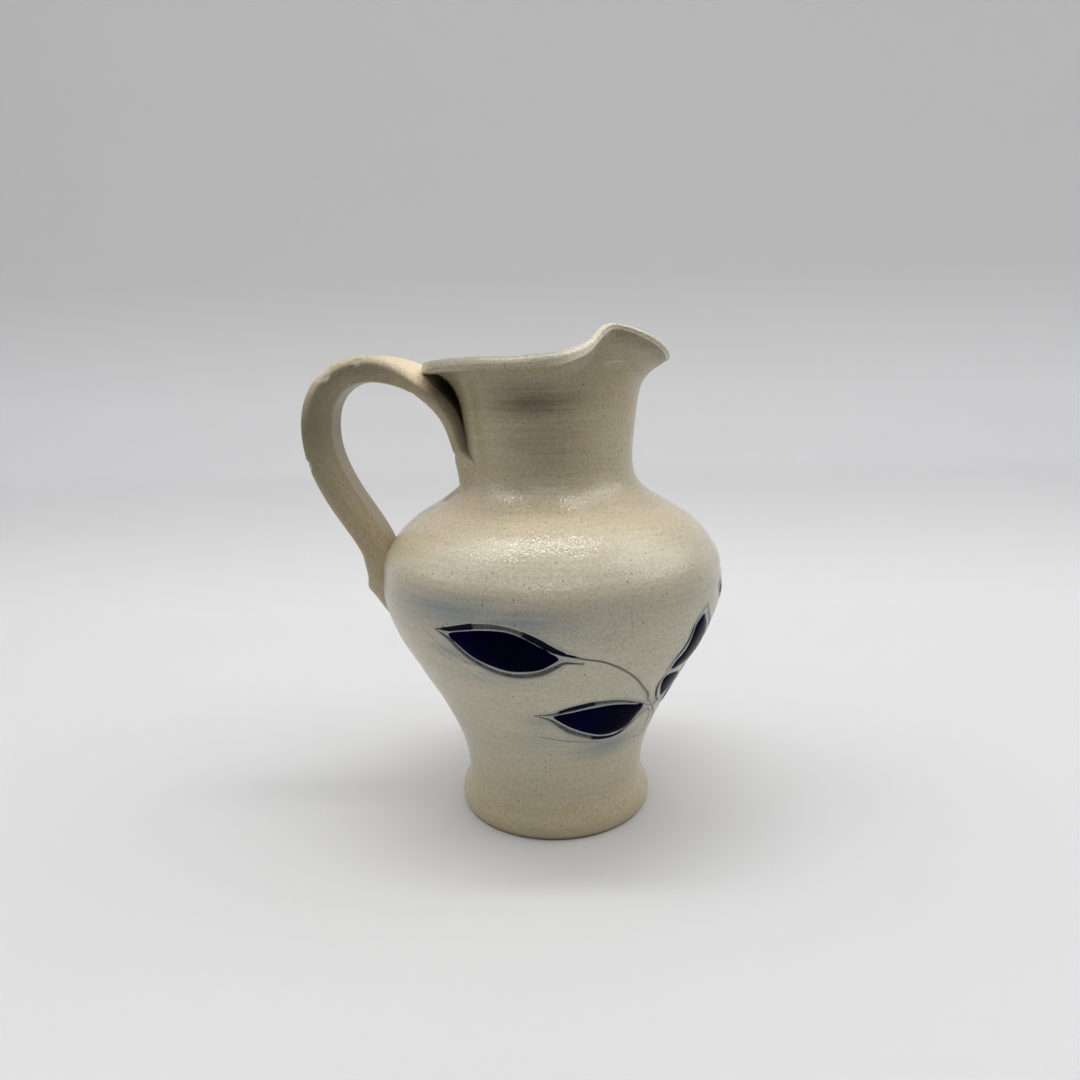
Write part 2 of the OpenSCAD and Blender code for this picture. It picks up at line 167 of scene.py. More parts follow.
# The short leaves over the root are measured on the wall: azimuth and height
BUD_SIDES = (
    (-34.0, 38.4), (-37.4, 39.6), (-41.4, 42.4), (-43.4, 44.8), (-42.8, 46.4), (-40.0, 46.8), (-35.2, 46.1),
    (-30.0, 45.0), (-27.0, 42.6), (-28.5, 40.0),
)
BUD_CUTS = (
    ((-34.5, 36.8, 0.25, 0), (-39.5, 38.9, 0.42, 0.6), (-43.6, 41.8, 0.45, 1), (-45.2, 44.4, 0.4, 1),
     (-44.6, 46.8, 0.3, 0.4)),
    ((-31.0, 36.8, 0.25, 0), (-26.8, 39.0, 0.5, 0), (-24.6, 42.6, 0.55, 0), (-27.0, 45.9, 0.4, 0)),
)
MIDDLE_SIDES = (
    (-41.8, 48.4), (-42.6, 49.9), (-42.2, 51.3), (-40.7, 52.7), (-39.2, 54.2), (-38.6, 56.2), (-38.7, 58.6),
    (-38.6, 60.4), (-37.4, 61.9), (-34.4, 63.2), (-31.6, 61.3), (-27.1, 58.3), (-23.2, 55.7), (-20.0, 52.8),
    (-21.0, 50.0), (-27.0, 48.2), (-34.0, 48.0),
)
MIDDLE_CUTS = (
    ((-44.6, 48.6, 0.3, 0), (-44.6, 50.8, 0.42, 0.2), (-43.4, 52.9, 0.5, 0.7), (-41.7, 54.6, 0.55, 1),
     (-40.4, 56.6, 0.6, 1), (-39.9, 59.2, 0.5, 1), (-39.5, 61.4, 0.4, 0.4), (-36.4, 63.8, 0.3, 0),
     (-33.7, 65.4, 0.15, 0)),
    ((-32.8, 65.2, 0.15, 0), (-29.8, 62.2, 0.4, 0), (-25.4, 59.2, 0.5, 0), (-21.0, 56.4, 0.55, 0),
     (-17.4, 53.0, 0.55, 0), (-18.6, 49.2, 0.5, 0)),
)
# Stems and stray strokes on the wall: azimuth, height, half width and slip, then depth and tone
STROKES = (
    (((-86.4, 59.6, 0.42, 1), (-83.4, 58.9, 0.36, 0.6), (-80.3, 58.1, 0.32, 0), (-74.7, 56.9, 0.34, 0),
      (-68.1, 54.1, 0.36, 0), (-61.2, 50.1, 0.38, 0), (-54.4, 45.5, 0.4, 0), (-49.4, 42.4, 0.45, 0),
      (-46.6, 39.6, 0.35, 0)), 0.34, 0.85),
    (((10.3, 59.4, 0.3, 0), (0.0, 56.9, 0.36, 0), (-14.8, 50.1, 0.38, 0), (-25.0, 43.0, 0.4, 0),
      (-30.4, 39.0, 0.3, 0)), 0.34, 0.85),
    (((-46.5, 38.2, 0.3, 0), (-41.0, 37.0, 0.4, 0), (-36.0, 37.8, 0.35, 0), (-33.0, 38.6, 0.25, 0)),
     0.3, 0.9),
    (((-45.6, 39.5, 0.25, 0), (-40.0, 36.6, 0.38, 0), (-34.0, 33.8, 0.35, 0), (-28.3, 30.6, 0.35, 0),
      (-21.0, 26.5, 0.3, 0), (-15.4, 23.3, 0.2, 0)), 0.3, 0.9),
    (((-48.4, 34.4, 0.2, 0), (-42.0, 35.6, 0.3, 0), (-38.5, 34.2, 0.2, 0)), 0.25, 0.9),
    (((-36.6, 36.6, 0.2, 0), (-36.2, 33.0, 0.35, 0), (-33.4, 29.0, 0.3, 0), (-31.1, 26.0, 0.2, 0)),
     0.28, 0.9),
    (((-45.0, 27.0, 0.15, 0), (-38.0, 25.8, 0.22, 0), (-31.1, 26.6, 0.15, 0)), 0.15, 0.5),
    (((-97.5, 32.5, 0.12, 0), (-90.1, 31.5, 0.2, 0), (-79.4, 30.2, 0.22, 0), (-67.7, 29.0, 0.12, 0)),
     0.14, 0.6),
    (((-134.0, 64.0, 0.1, 0), (-127.0, 59.6, 0.16, 0), (-117.0, 55.6, 0.1, 0)), 0.06, 0.12),
    (((-131.0, 59.0, 0.1, 0), (-123.0, 55.0, 0.16, 0), (-113.0, 50.5, 0.1, 0)), 0.06, 0.12),
)

# Thin slip wiped over the wall, and in the first two rows also painted shade below the shoulder's
# edge: azimuth, height, spread round and up in mm, and strength
WASHES_AND_SHADE = (
    (-121.0, 68.8, 16.0, 4.4, 1.0),
    (-101.0, 67.4, 13.0, 3.6, 1.0),
    (-119.0, 58.5, 8.0, 3.0, 0.8),
    (-111.0, 51.5, 13.0, 2.0, 0.5),
    (-60.0, 27.0, 10.0, 3.6, 1.0),
    (-78.0, 31.5, 6.0, 2.0, 0.4),
    (-41.0, 36.5, 4.0, 3.0, 0.7),
    (-95.0, 37.5, 6.0, 4.0, 0.55),
    (-93.0, 31.0, 9.0, 3.0, 0.4),
)


def washes_and_shade_at(turn, z):
    """How strong the washes and the painted shade below the shoulder's edge are at places on the wall."""
    wash_and_shade = np.zeros(np.shape(turn))
    for at, height, round_by, up_by, strength in WASHES_AND_SHADE:
        off = np.radians(turn - at) * face_at(height)[0] / round_by
        wash_and_shade = np.maximum(wash_and_shade, strength * np.exp(-(off ** 2) - ((z - height) / up_by) ** 2))
    return wash_and_shade


def from_tip(ends, rows):
    """A long leaf's rows as azimuth and height, with their other columns kept."""
    rows = np.array(rows, float)
    tip, stalk = np.array(ends)
    turn, height = (tip + stalk) / 2
    per_degree = np.radians(face_at(height)[0])
    way = (stalk - tip) * (per_degree, 1)
    up = np.array([-way[1], way[0]]) / math.hypot(*way)
    up = up if up[1] > 0 else -up
    flat = (tip - (turn, 0)) * (per_degree, 1) + rows[:, :1] * way + rows[:, 1:2] * up
    rows[:, 0] = turn + flat[:, 0] / per_degree
    rows[:, 1] = flat[:, 1]
    return rows


def steps_on_wall(line):
    """Moves along a line on the wall in mm: round the wall, and up its face."""
    middle = (line[1:, :2] + line[:-1, :2]) / 2
    radius, slope = face_at(middle[:, 1])
    move = np.diff(line[:, :2], axis=0)
    return np.stack([np.radians(move[:, 0]) * radius, move[:, 1] * np.sqrt(1 + slope * slope)], axis=-1)


def stroke(rows, ring=False, step=0.5):
    """A smooth line through rows, with points at even steps in mm."""
    rows = np.array(rows, float)
    ends = (rows[-1:], rows[:2]) if ring else (2 * rows[:1] - rows[1:2], 2 * rows[-1:] - rows[-2:-1])
    q = np.concatenate([ends[0], rows, ends[1]])
    t = np.linspace(0, 1, 16, endpoint=False)[:, None]
    parts = []
    for a, b, c, d in zip(q, q[1:], q[2:], q[3:]):
        parts.append(b + t / 2 * (c - a + t * (2 * a - 5 * b + 4 * c - d + t * (3 * (b - c) + d - a))))
    fine = np.concatenate(parts + [q[-2:-1]])
    along = np.concatenate([[0], np.cumsum(np.hypot(*steps_on_wall(fine).T))])
    places = np.linspace(0, along[-1], max(3, round(along[-1] / step)) + 1)
    return np.stack([np.interp(places, along, column) for column in fine.T], axis=-1)


def beside(line, gap, ring=False):
    """The line moved across by a gap in mm, to the left of its way."""
    move = steps_on_wall(line)
    if ring:
        move = (move + np.roll(move, 1, axis=0)) / 2
        move = np.concatenate([move, move[:1]])
    else:
        move = np.concatenate([move[:1], (move[1:] + move[:-1]) / 2, move[-1:]])
    move /= np.hypot(*move.T)[:, None]
    radius, slope = face_at(line[:, 1])
    turn = line[:, 0] - np.degrees(gap * move[:, 1] / radius)
    return np.stack([turn, line[:, 1] + gap * move[:, 0] / np.sqrt(1 + slope * slope)], axis=-1)


FAR = 99.0                  # mm, for points outside a line's surroundings
AROUND = np.array([14, 9])  # those surroundings: degrees round the wall, and mm up it
BATCH = 4000                # points measured at a time


def nearest(line, turn, z):
    """Distance in mm from points on the wall to a line, and the line's columns there."""
    reach = np.full(len(turn), FAR)
    columns = np.zeros((len(turn), line.shape[1] - 2))
    radius, slope = face_at(z)
    scale = np.stack([np.radians(radius), np.sqrt(1 + slope * slope)], axis=-1)
    low = line[:, :2].min(axis=0) - AROUND
    high = line[:, :2].max(axis=0) + AROUND
    near = np.flatnonzero((turn > low[0]) & (turn < high[0]) & (z > low[1]) & (z < high[1]))
    for part in np.array_split(near, len(near) // BATCH + 1):
        k = scale[part][:, None]
        a = line[None, :-1, :2] * k
        way = line[None, 1:, :2] * k - a
        from_a = np.stack([turn[part], z[part]], axis=-1)[:, None] * k - a
        t = np.clip((from_a * way).sum(-1) / (way * way).sum(-1), 0, 1)
        gap = np.linalg.norm(from_a - t[..., None] * way, axis=-1)
        best = gap.argmin(axis=1)
        reach[part] = gap[np.arange(len(part)), best]
        share = t[np.arange(len(part)), best][:, None]
        columns[part] = line[best, 2:] * (1 - share) + line[best + 1, 2:] * share
    return reach, columns


def within(loop, turn, z):
    """True for the points on the wall that a closed line goes round."""
    inside = np.zeros(len(turn), bool)
    for (x0, y0), (x1, y1) in zip(loop[:-1, :2], loop[1:, :2]):
        if y0 != y1:
            inside ^= ((y0 > z) != (y1 > z)) & (turn < x0 + (z - y0) * (x1 - x0) / (y1 - y0))
    return inside


def long_leaf(ends, sides, cuts):
    """A long leaf's sides and its cuts, as azimuth and height."""
    return from_tip(ends, sides), [from_tip(ends, rows) for rows in cuts]


LEAVES = {
    "upper_left_leaf": long_leaf(UPPER_ENDS, UPPER_SIDES, UPPER_CUTS),
    "lower_left_leaf": long_leaf(LOWER_ENDS, LOWER_SIDES, LOWER_CUTS),
    "bud_leaf": (BUD_SIDES, BUD_CUTS),
    "middle_leaf": (MIDDLE_SIDES, MIDDLE_CUTS),
    "upper_right_leaf": long_leaf(UPPER_RIGHT_ENDS, UPPER_SIDES, BARE_UPPER_CUTS),
    "lower_right_leaf": long_leaf(LOWER_RIGHT_ENDS, LOWER_SIDES, LOWER_CUTS),
}
CUT_DEPTH = 0.45
POCKET_DEPTH = 0.5
loops = {}
cuts = []
for name, (sides, leaf_cuts) in LEAVES.items():
    loops[name] = stroke(sides, ring=True)
    cuts += [(stroke(rows), CUT_DEPTH, 1.0, 0.0) for rows in leaf_cuts]
cuts += [(stroke(rows), depth, 0.0, tone) for rows, depth, tone in STROKES]

# The wall is a grid of columns and rows, but for a window round the sprig, where the mesh
# follows the edges of every cut
COLUMNS = 240
FOOT_TOP = 12.0
FOOT_ROWS = 24
WALL_ROWS = 135
WINDOW_TURNS = (-150, 34.5)
WINDOW_HEIGHTS = (19.5, 75.0)
FLAT = np.array([np.radians(42), 1.15])     # mm on the wall for a degree round it and a mm of height
FREE_GAP = 0.5                              # between the lines and the free points of the window
ACROSS_CUT = (-1, -0.75, 0, 0.75, 1)        # lines along a cut, in shares of its half width
BESIDE_CUT = (0.09, 0.27)                   # lines along its raised edges
BESIDE_LEAF = 0.3                           # lines inside and outside a leaf's edge

turns = np.linspace(-180, 180, COLUMNS, endpoint=False)
foot_heights = np.linspace(0, FOOT_TOP, FOOT_ROWS, endpoint=False)
heights = np.concatenate([foot_heights, np.linspace(FOOT_TOP, THROAT_Z, WALL_ROWS)])
first, last = np.searchsorted(turns, WINDOW_TURNS)
low, high = np.searchsorted(heights, WINDOW_HEIGHTS)
window_turns = turns[first:last + 1]
window_heights = heights[low:high + 1]


def flat_mesh(points, ties, kind):
    """Places on the wall joined to a mesh that keeps the tied ones: its places and faces."""
    made = delaunay_2d_cdt([tuple(p) for p in points * FLAT], ties, [], kind, 1e-5, False)
    return np.array([tuple(p) for p in made[0]]) / FLAT, [tuple(f) for f in made[2]]


lines = [np.stack([window_turns, np.full(len(window_turns), z)], -1) for z in window_heights[[0, -1]]]
lines += [np.stack([np.full(len(window_heights), a), window_heights], -1) for a in window_turns[[0, -1]]]
for line, depth, leaf_tone, stem_tone in cuts:
    lines += [beside(line, share * line[:, 2]) for share in ACROSS_CUT]
    for gap in BESIDE_CUT:
        lines += [beside(line, side * (line[:, 2] + gap)) for side in (-1, 1)]
for loop in loops.values():
    lines += [loop[:, :2]] + [beside(loop, side * BESIDE_LEAF, ring=True) for side in (1, -1)]
ties = []
count = 0
for line in lines:
    ties += [(count + k, count + k + 1) for k in range(len(line) - 1)]
    count += len(line)
points = np.concatenate(lines)
tree = KDTree(count)
for k, (x, y) in enumerate(points * FLAT):
    tree.insert((x, y, 0), k)
tree.balance()
grid = np.meshgrid(window_turns[1:-1], window_heights[1:-1], indexing="ij")
grid = np.stack(grid, -1).reshape(-1, 2)
free = [p for p in grid if tree.find((p[0] * FLAT[0], p[1] * FLAT[1], 0))[2] > FREE_GAP]
flat, window_faces = flat_mesh(np.concatenate([points, free]), ties, 0)
turn, z = flat.T

SHALLOW = 0.45      # share of a cut's depth that slip fills
BURR_RISE = 0.16    # raised edge of a cut, as a share of its depth
BURR_AT = 0.1       # its crest, from the edge
BURR_SPREAD = 0.12
RIDGE_SPREAD = 0.13
HALO_REACH = 4.6    # how far thin slip runs out from a leaf
# How low each point of the window lies, and how much it shows of each mark
low_by, burr, groove, stem, edge, ridge, halo, cobalt = np.zeros((8, len(turn)))
for line, depth, leaf_tone, stem_tone in cuts:
    gap, columns = nearest(line, turn, z)
    half = np.maximum(columns[:, 0], 0.1)
    slip = ramp(0.3, 0.7, columns[:, 1])
    sunk = 1 - ramp(0.7, 1, gap / half)
    low_by = np.minimum(low_by, -depth * sunk * (1 - SHALLOW * slip))
    burr = np.maximum(burr, depth * BURR_RISE * bell((gap - half - BURR_AT) / BURR_SPREAD))
    edge = np.maximum(edge, (leaf_tone + stem_tone) * bell((gap - half - BESIDE_CUT[0]) / BURR_SPREAD))
    cut_across = 1 - ramp(0.9, 1.05, gap / half)
    groove = np.maximum(groove, leaf_tone * cut_across)
    stem = np.maximum(stem, stem_tone * cut_across)
    cobalt = np.maximum(cobalt, slip * cut_across)
for name, loop in loops.items():
    gap = nearest(loop, turn, z)[0]
    inside = within(loop, turn, z)
    low_by = np.where(inside, np.minimum(low_by, -POCKET_DEPTH * ramp(0, BESIDE_LEAF, gap)), low_by)
    ridge = np.maximum(ridge, bell((gap - np.where(inside, 0, BURR_AT)) / RIDGE_SPREAD))
    halo = np.maximum(halo, np.where(inside, 1, bell(gap / HALO_REACH)))
halo = np.maximum(halo, washes_and_shade_at(turn, z))
low_by += np.where(low_by > -0.02, burr, 0)
window_points = on_wall(turn, z, low_by + rings_at(turn, z))

# The mouth over the throat: the rim flares to a rounded lip, and opposite the handle it is
# pinched up between two fingers and pulled forward into a spout.
# Angle from the spout, reach, height above the throat, lean of the lip, and its thickness
RIM = np.array([
    (0.0, 32.7, 16.8, 31.0, 2.7),     # tip of the spout
    (46.0, 24.2, 23.7, 86.0, 2.3),    # pinched wing
    (90.0, 29.8, 16.7, 40.0, 3.2),    # side
    (180.0, 34.0, 15.2, 12.0, 3.2),   # under the handle's arch
])
TIP_CLIMB = 1.1
# Where the rim dips beside the wings and along the sides: angle, depth and spread
DIPS = ((67.0, 1.2, 9.0), (107.0, 0.8, 18.0))
FAR_DIP = (56.0, 1.5, 18.0)     # the far wing was pinched lower than the near one
THROAT_PULL = 0.7
FLARE_PULL = 0.42
THROAT_WALL = 3.4
FOOT_WALL = 5.0
FLOOR_T = 6.0
FLOOR_FILLET = 6.0
FLOOR_RADII = (16.0, 9.0, 3.0)
UNDERSIDE_RADII = (2.0, 10.0, 18.0, 24.0)
LEDGE = 0.75                # step under the lip, which fades out at the wings
WING_TURNS = (44, 62)
SIDE_TURNS = (70, 92)
THUMB_RISE = 0.2            # arcs left by the thumb under the spout, and their shares of the way up
THUMB_ARCS = (0.6, 0.68)
THUMB_SPREAD = 0.03
LIP_SQUARE = 0.62           # below 1, the lip is squarer than a half round
MOUTH_STEPS = np.concatenate([np.linspace(0, 0.88, 23), np.linspace(0.9, 1, 9)])
LIP_STEPS = 11


def bezier(p, t):
    """Points and unit ways of a cubic curve at shares t."""
    t = np.asarray(t, float)[:, None]
    s = 1 - t
    point = s ** 3 * p[0] + 3 * s * s * t * p[1] + 3 * s * t * t * p[2] + t ** 3 * p[3]
    way = s * s * (p[1] - p[0]) + 2 * s * t * (p[2] - p[1]) + t * t * (p[3] - p[2])
    return point, way / np.linalg.norm(way, axis=1)[:, None]


def mouth_section(turn):
    """Radius and height from the throat outside, over the lip, to the throat inside."""
    angle = abs(turn)
    i = min(np.searchsorted(RIM[:, 0], angle, side="right"), len(RIM) - 1) - 1
    share = (angle - RIM[i, 0]) / (RIM[i + 1, 0] - RIM[i, 0])
    ease = (1 - math.cos(math.pi * share)) / 2
    reach, rise, lean, lip = (RIM[i] + (RIM[i + 1] - RIM[i]) * ease)[1:]
    if i == 0:
        rise = RIM[0, 2] + (RIM[1, 2] - RIM[0, 2]) * math.sin(math.pi / 2 * share) ** TIP_CLIMB
    for at, depth, spread in DIPS + ((FAR_DIP,) if turn > 0 else ()):
        rise -= depth * math.exp(-(((angle - at) / spread) ** 2))
    lean = math.radians(lean)
    lip /= 2
    middle = np.array([reach - lip, THROAT_Z + rise - lip])
    out = np.array([math.cos(lean), math.sin(lean)])
    under = np.array([out[1], -out[0]])
    edge = middle + lip * under
    foot = np.array([THROAT_R, THROAT_Z])
    curve = [
        foot,
        foot + THROAT_PULL * (edge[1] - THROAT_Z) * np.array([THROAT_SLOPE, 1]),
        edge - FLARE_PULL * np.linalg.norm(edge - foot) * out,
        edge,
    ]
    t = MOUTH_STEPS
    outer, way = bezier(curve, t)
    normal = np.stack([-way[:, 1], way[:, 0]], -1)
    inner = outer + (THROAT_WALL + (2 * lip - THROAT_WALL) * t)[:, None] * normal
    ledge = LEDGE * ramp(*WING_TURNS, angle)
    outer += (ledge * ramp(0.45, 0.93, t) * (1 - ramp(0.945, 0.97, t)))[:, None] * normal
    thumb = THUMB_RISE * ramp(14, 26, angle) * (1 - ramp(52, 66, angle))
    for at in THUMB_ARCS:
        arc = at - 0.14 * ((angle - 42) / 22) ** 2
        outer += (thumb * bell((t - arc) / THUMB_SPREAD))[:, None] * normal
    a = np.linspace(-math.pi / 2, math.pi / 2, LIP_STEPS + 2)[1:-1]
    across = np.sign(np.sin(a)) * np.abs(np.sin(a)) ** LIP_SQUARE
    forward = np.cos(a) ** LIP_SQUARE
    rounded = middle + lip * (forward[:, None] * out - across[:, None] * under)
    return np.concatenate([outer, rounded, inner[:0:-1], [(THROAT_R - THROAT_WALL, THROAT_Z)]])


short_turns = np.abs(turns)
mouth = np.array([mouth_section(a) for a in turns])

# The hollow: the inner face down from the throat, a rounded corner and the floor
inner_z = heights[(heights > 13) & (heights < THROAT_Z - 1)][::-2]
inner_r, inner_slope = face_at(inner_z)
depth = (FOOT_WALL + (THROAT_WALL - FOOT_WALL) * inner_z / THROAT_Z) / np.sqrt(1 + inner_slope ** 2)
hollow = np.stack([inner_r - depth, inner_z + depth * inner_slope], -1)
hollow = hollow[hollow[:, 1] < THROAT_Z - 1]
corner = np.linspace(math.pi / 2, 0, 7)
corner = np.stack([
    hollow[-1, 0] - FLOOR_FILLET * (1 - np.sin(corner)),
    FLOOR_T + FLOOR_FILLET * (1 - np.cos(corner)),
], -1)
hollow = np.concatenate([hollow, corner, [(r, FLOOR_T) for r in FLOOR_RADII]])
underside = np.array([(r, 0.0) for r in UNDERSIDE_RADII])


def turned(section):
    """A section, or one for each column, as rows of points round the axis."""
    section = np.broadcast_to(section, (COLUMNS,) + section.shape[-2:])
    a = np.radians(turns)[:, None]
    points = np.stack([section[..., 0] * np.cos(a), section[..., 0] * np.sin(a), section[..., 1]], -1)
    return points.swapaxes(0, 1)


def faces_round(rows, columns, open_rows=(), open_columns=()):
    """Faces between rows of points round a ring, closed at both ends, but for a window."""
    faces = []
    for j in range(rows - 1):
        for k in range(columns):
            if j in open_rows and k in open_columns:
                continue
            n = (k + 1) % columns
            faces.append((j * columns + k, j * columns + n, (j + 1) * columns + n, (j + 1) * columns + k))
    faces.append(tuple(range(columns - 1, -1, -1)))
    faces.append(tuple((rows - 1) * columns + k for k in range(columns)))
    return faces


column_turn, row_z = np.meshgrid(turns, heights)
wall = on_wall(column_turn, row_z, rings_at(column_turn, row_z) * ramp(0, 4, row_z))
rows = np.concatenate([turned(underside), wall, turned(mouth)[1:], turned(hollow)])
open_rows = range(len(underside) + low, len(underside) + high)
grid_faces = faces_round(len(rows), COLUMNS, open_rows, range(first, last))
rows = rows.reshape(-1, 3)

# Marks of the fire on the grid: the pale lip and thin slip; then darker clouds on the neck, and painted
# shade in the slit behind the strap, in the hollow under the spout and under the ledge
# Darker clouds on the neck: azimuth, height, spread in degrees and mm, and strength
DARK_CLOUDS = ((-99, 117.0, 29, 5.0, 0.85), (-91, 107.5, 27, 10.0, 0.46))
DARKENING_TOP = (121.5, 124.5)      # heights between which it fades out under the rim
SLIT_TURN = 15                  # spread of the painted shade in the slit behind the strap, in degrees
SLIT_FROM = (103.0, 106.0)
SPOUT_SHADE = 0.36
LEDGE_SHADE = 0.3
SIDES_DULL = 0.78               # share of the pale lip that the sides lose

on_wings = ramp(*WING_TURNS, short_turns)
on_sides = ramp(*SIDE_TURNS, short_turns)
lip_from = 0.985 - 0.04 * on_wings
lip_rows = np.concatenate([
    ramp(lip_from, lip_from + 0.025, MOUTH_STEPS[1:, None]),
    np.maximum(ramp(-1, 2, np.arange(LIP_STEPS))[:, None], on_wings),
    np.repeat(ramp(0.9, 0.98, MOUTH_STEPS)[:0:-1, None], COLUMNS, axis=1),
])
mouth_from = len(underside) + len(heights)
outside = mouth_from + len(MOUTH_STEPS)
grid_lip = np.zeros((len(rows) // COLUMNS, COLUMNS))
grid_lip[mouth_from:][:len(lip_rows)] = lip_rows * (1 - SIDES_DULL * on_sides)
grid_turn = np.broadcast_to(turns, grid_lip.shape)
grid_z = rows[:, 2].reshape(grid_lip.shape)
on_outside = (np.arange(len(grid_lip)) < outside)[:, None]
grid_halo = np.where(on_outside, washes_and_shade_at(grid_turn, grid_z), 0)
# Painted shade in the slit behind the strap, then the darker clouds on the neck
grid_shade_and_clouds = bell((180 - np.abs(grid_turn)) / SLIT_TURN) * ramp(*SLIT_FROM, grid_z)
for at, height, round_by, up_by, strength in DARK_CLOUDS:
    cloud = strength * bell((grid_turn - at) / round_by) * bell((grid_z - height) / up_by)
    grid_shade_and_clouds = np.maximum(grid_shade_and_clouds, cloud)
grid_shade_and_clouds = grid_shade_and_clouds * (1 - ramp(*DARKENING_TOP, grid_z)) * on_outside
# Painted shade in the hollow under the spout's lip, and under the ledge along the sides
under_spout = SPOUT_SHADE * ramp(0.74, 0.95, MOUTH_STEPS)[:, None] * (1 - ramp(38, 56, short_turns))
under_ledge = LEDGE_SHADE * ramp(0.935, 0.955, MOUTH_STEPS)[:, None] * on_sides
mouth_shade_and_clouds = grid_shade_and_clouds[mouth_from:outside]
mouth_shade_and_clouds[:] = np.maximum(mouth_shade_and_clouds, np.maximum(under_spout, under_ledge))


def add_piece(name, points, faces, masks, material, node):
    """A smooth mesh in mm that takes a node's place, with named values on its points."""
    merged = np.unique(np.round(points, 4), axis=0, return_index=True, return_inverse=True)
    keep, back = merged[1], merged[2].reshape(-1)
    mesh = bpy.data.meshes.new(name)
    solid = []
    for face in faces:
        face = [int(v) for v in back[list(face)]]
        face = [v for k, v in enumerate(face) if v != face[k - 1]]
        if len(face) > 2:
            solid.append(face)
    mesh.from_pydata((points[keep] * MM).tolist(), [], solid)
    mesh.polygons.foreach_set("use_smooth", [True] * len(mesh.polygons))
    for key, values in masks.items():
        layer = mesh.attributes.new(key, "FLOAT", "POINT")
        layer.data.foreach_set("value", values[keep].astype(np.float32))
    mesh.materials.append(material)
    piece = bpy.data.objects.new(name, mesh)
    bpy.context.scene.collection.objects.link(piece)
    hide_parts(node)
    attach(piece, "root")


def add(tree, kind, inputs=None, **settings):
    """A shader node with its settings, and its inputs linked or set."""
    node = tree.nodes.new(kind)
    for key, value in settings.items():
        setattr(node, key, value)
    for key, value in (inputs or {}).items():
        if isinstance(value, bpy.types.NodeSocket):
            tree.links.new(value, node.inputs[key])
        else:
            node.inputs[key].default_value = value
    return node


def new_group(name, inputs, outputs):
    """An empty node group with its sockets, and its two end nodes."""
    tree = bpy.data.node_groups.new(name, "ShaderNodeTree")
    for key, kind in inputs:
        tree.interface.new_socket(key, in_out="INPUT", socket_type=kind)
    for key, kind in outputs:
        tree.interface.new_socket(key, in_out="OUTPUT", socket_type=kind)
    return tree, add(tree, "NodeGroupInput"), add(tree, "NodeGroupOutput")


# Salt glaze: dimples of the orange peel, fine lines of the wheel, and iron specks from the clay
GLAZE_MARKS = ("Peel", "Lines", "Specks", "Clouds", "Grain")
glaze, into, out = new_group(
    "Salt glaze",
    [("Place", "NodeSocketVector"), ("Drawn", "NodeSocketVector")],
    [(mark, "NodeSocketFloat") for mark in GLAZE_MARKS])
place = into.outputs["Place"]
dimples = {"Vector": place, "Scale": 1700, "Smoothness": 0.3}
peel = add(glaze, "ShaderNodeTexVoronoi", dimples, feature="SMOOTH_F1")
wheel = add(glaze, "ShaderNodeTexNoise", {"Vector": into.outputs["Drawn"], "Scale": 1, "Detail": 1})
cells = add(glaze, "ShaderNodeTexVoronoi", {"Vector": place, "Scale": 800})
chosen = add(glaze, "ShaderNodeSeparateColor", {0: cells.outputs["Color"]})
rare = add(glaze, "ShaderNodeMapRange", {0: chosen.outputs[0], 1: 0.4, 2: 1, 3: 0, 4: 0.21})
speck = add(glaze, "ShaderNodeMath", {0: rare.outputs[0], 1: cells.outputs["Distance"]}, operation="SUBTRACT")
specks = add(glaze, "ShaderNodeMapRange", {0: speck.outputs[0], 1: 0, 2: 0.04})
clouds = add(glaze, "ShaderNodeTexNoise", {"Vector": place, "Scale": 45, "Detail": 3})
grain = add(glaze, "ShaderNodeTexNoise", {"Vector": place, "Scale": 1300, "Detail": 3, "Roughness": 0.75})
for mark, node in zip(GLAZE_MARKS, (peel, wheel, specks, clouds, grain)):
    glaze.links.new(node.outputs[0], out.inputs[mark])


def mix(tree, share, a, b, blend="MIX"):
    """The colour a mixed with b, or multiplied by it, by a share."""
    a, b = (v if isinstance(v, bpy.types.NodeSocket) else (*v, 1) for v in (a, b))
    node = add(tree, "ShaderNodeMix", {0: share, 6: a, 7: b}, data_type="RGBA", blend_type=blend)
    return node.outputs[2]


def scaled(tree, value, low, high, to_low=0.0, to_high=1.0):
    """A value taken from one range to another."""
    return add(tree, "ShaderNodeMapRange", {0: value, 1: low, 2: high, 3: to_low, 4: to_high}).outputs[0]


def times(tree, a, b):
    """One value times another."""
    return add(tree, "ShaderNodeMath", {0: a, 1: b}, operation="MULTIPLY").outputs[0]


def toned(tree, value, tones):
    """A colour that changes with a value: rows of value and colour."""
    low, high = tones[0][0], tones[-1][0]
    shade = add(tree, "ShaderNodeValToRGB", {0: scaled(tree, value, low, high)})
    stops = shade.color_ramp.elements
    stops[0].color = (*tones[0][1], 1)
    stops[1].color = (*tones[-1][1], 1)
    for at, colour in tones[1:-1]:
        stops.new((at - low) / (high - low)).color = (*colour, 1)
    return shade.outputs["Color"]


def bumped(tree, shader, height, strength, depth):
    """Gives a shader the relief of a height, with a strength and a depth in mm."""
    bump = add(tree, "ShaderNodeBump", {"Height": height, "Strength": strength, "Distance": depth * MM})
    tree.links.new(bump.outputs[0], shader.inputs["Normal"])


def salt_glazed(name):
    """A finish under salt glaze: its material, nodes, shader and glaze, and the place on the piece."""
    material = bpy.data.materials.new(name)
    material.use_nodes = True
    tree = material.node_tree
    place = add(tree, "ShaderNodeTexCoord").outputs["Object"]
    skin = add(tree, "ShaderNodeGroup", {"Place": place}, node_tree=glaze)
    return material, tree, tree.nodes["Principled BSDF"], skin, place


# Tints that multiply a clay's colour, and the colour and strength of the iron specks
WARM_CLOUD = (1.07, 1.03, 1.0)
TOOL_LINE = (0.78, 0.77, 0.75)
DARK_GRAIN = (0.72, 0.7, 0.66)
IRON_SPECK = (0.07, 0.045, 0.025)
SPECK_SHOWS = 0.72


